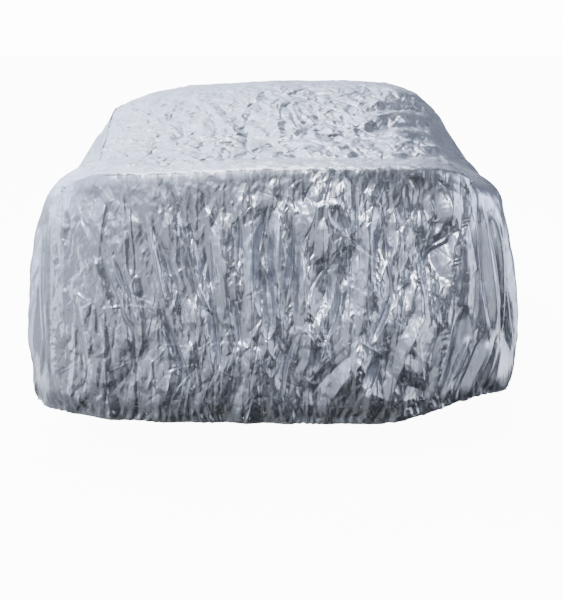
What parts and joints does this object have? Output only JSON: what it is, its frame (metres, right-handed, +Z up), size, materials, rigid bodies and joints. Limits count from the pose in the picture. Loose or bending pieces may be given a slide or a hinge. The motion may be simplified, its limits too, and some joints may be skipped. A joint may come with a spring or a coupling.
{
  "type": "fitted car cover",
  "caption": "Fitted outdoor cover of thin silver coated cloth, hanging in folds to a gathered hem over the hollow shape of a low saloon car.",
  "frame": {"origin": "underside of the cover's roof, at its middle, where the car holds it up", "axes": "+Z up, +Y towards the front of the car, +X to the right of someone who stands behind it"},
  "size_m": [1.8946, 4.4308, 1.2126],
  "materials": {
    "silver_cloth": "silver coated taffeta, satin"
  },
  "bodies": {
    "root": {"centre_panel": "silver_cloth", "side_panel_right": "silver_cloth", "side_panel_left": "silver_cloth"}
  },
  "joints": []
}
